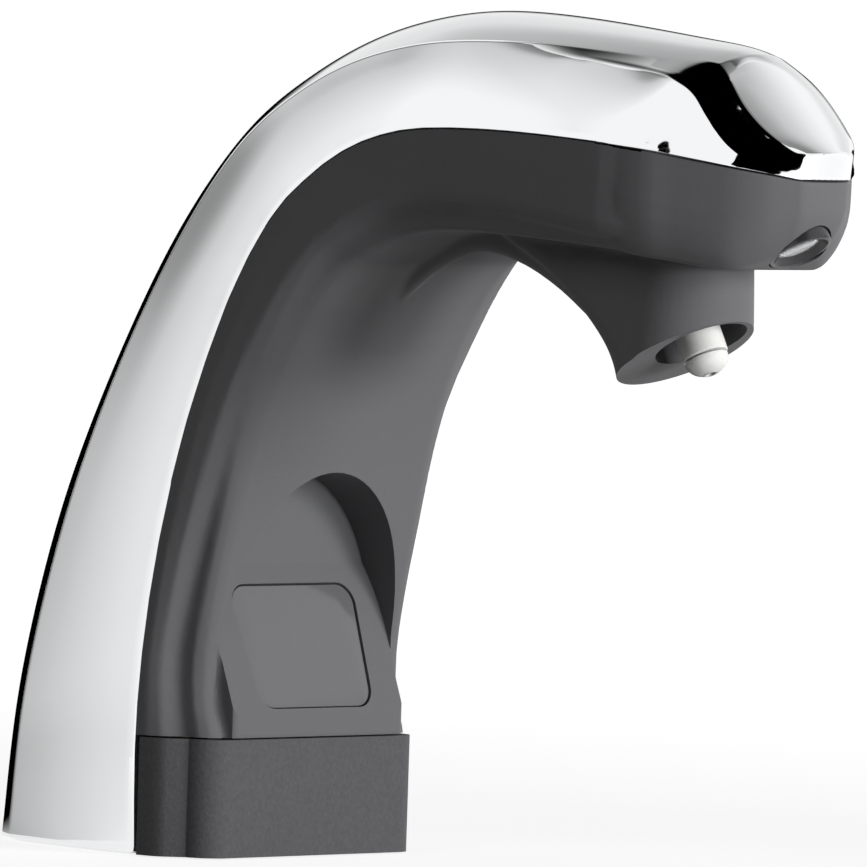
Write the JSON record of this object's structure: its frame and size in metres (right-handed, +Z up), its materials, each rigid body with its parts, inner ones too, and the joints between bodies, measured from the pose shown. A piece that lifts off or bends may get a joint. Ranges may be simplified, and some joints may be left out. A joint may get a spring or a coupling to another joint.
{
  "type": "automatic soap dispenser",
  "caption": "Deck-mounted touch-free soap dispenser spout: chrome crescent shell over a black body, slanted sensor window at the base, angled outlet nozzle.",
  "frame": {"origin": "on the deck, at the centre of the mounting shank", "axes": "+Z up from the deck, +X from the base towards the nozzle, symmetric about the XZ plane"},
  "size_m": [0.1698, 0.058, 0.1399],
  "materials": {
    "chrome": "polished",
    "black_plastic": "fine moulded texture",
    "black_coat": "coarse moulded texture",
    "dark_window": "smooth, passes infrared",
    "rubber": "matte",
    "brass": "turned",
    "steel": "plated",
    "circuit_board": "solder mask",
    "white_plastic": "smooth moulded",
    "clear_plastic": "clear",
    "tube_plastic": "translucent",
    "cable_jacket": "smooth"
  },
  "bodies": {
    "spout": {"chrome_shell": "chrome", "spout_body": "black_plastic", "base_collar": "black_coat", "sensor_window": "dark_window", "window_seal": "rubber", "nozzle_holder": "white_plastic", "nozzle_retainer": "steel", "nozzle_oring": "rubber", "soap_tube": "tube_plastic", "sensor_holder": "black_plastic", "sensor_board": "circuit_board", "board_socket": "white_plastic", "ir_emitter": "clear_plastic", "ir_receiver": "dark_window", "sensor_screw_left": "steel", "sensor_screw_right": "steel", "sensor_cable": "cable_jacket", "indicator_lens": "clear_plastic", "indicator_bezel": "black_plastic", "indicator_board": "circuit_board", "indicator_led": "clear_plastic", "indicator_screw_left": "steel", "indicator_screw_right": "steel", "indicator_cable": "cable_jacket", "cable_plug": "white_plastic", "shank_insert": "brass", "deck_gasket": "rubber", "body_screw_left": "steel", "body_screw_right": "steel", "shell_screw_left": "steel", "shell_screw_right": "steel"},
    "nozzle": {"nozzle_sleeve": "white_plastic", "nozzle_tip": "white_plastic", "valve_spring": "steel"},
    "ball": {"valve_ball": "steel"}
  },
  "joints": [
    {"name": "nozzle_pull", "type": "slide", "parent": "spout", "child": "nozzle", "axis": [0.454, 0, -0.891], "range_m": [0, 0.006]},
    {"name": "valve_lift", "type": "slide", "parent": "nozzle", "child": "ball", "axis": [0.454, 0, -0.891], "range_m": [0, 0.0008], "stiffness_N_per_m": 60, "springref_m": -0.0005, "deforming": ["valve_spring"]}
  ]
}
